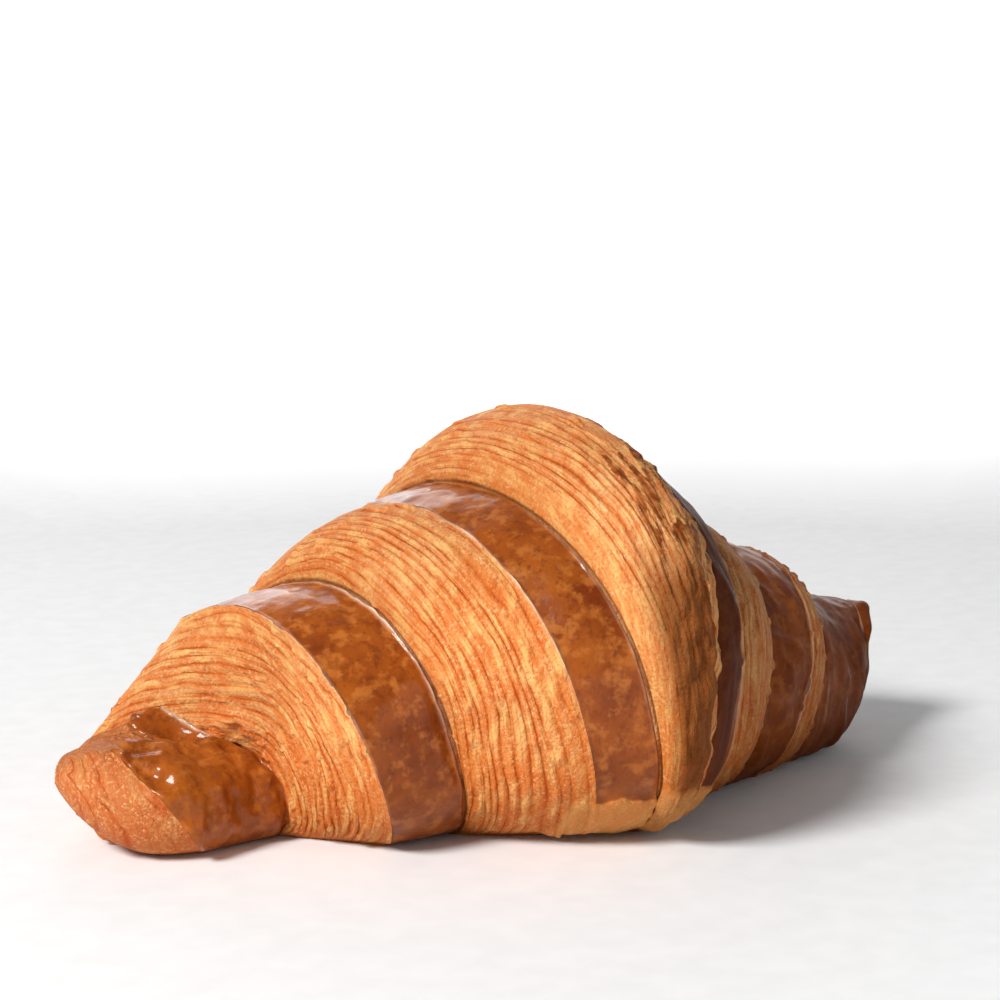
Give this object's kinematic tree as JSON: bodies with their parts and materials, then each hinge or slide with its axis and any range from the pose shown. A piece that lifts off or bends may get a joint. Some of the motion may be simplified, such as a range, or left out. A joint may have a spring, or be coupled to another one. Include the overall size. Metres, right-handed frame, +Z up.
{
  "type": "croissant",
  "caption": "Whole butter croissant, rolled from laminated dough, with glazed wraps and layered cut edges, lying on its flat base.",
  "frame": {"origin": "centre of the bounding box, at the flat base", "axes": "+X along the length towards the far tip, +Y towards the back, +Z up"},
  "size_m": [0.1606, 0.0954, 0.0685],
  "materials": {
    "crust": "baked crust: glossy amber-brown egg wash on the wraps, satin golden layers on the cut edges"
  },
  "bodies": {
    "root": {"croissant": "crust"}
  },
  "joints": []
}
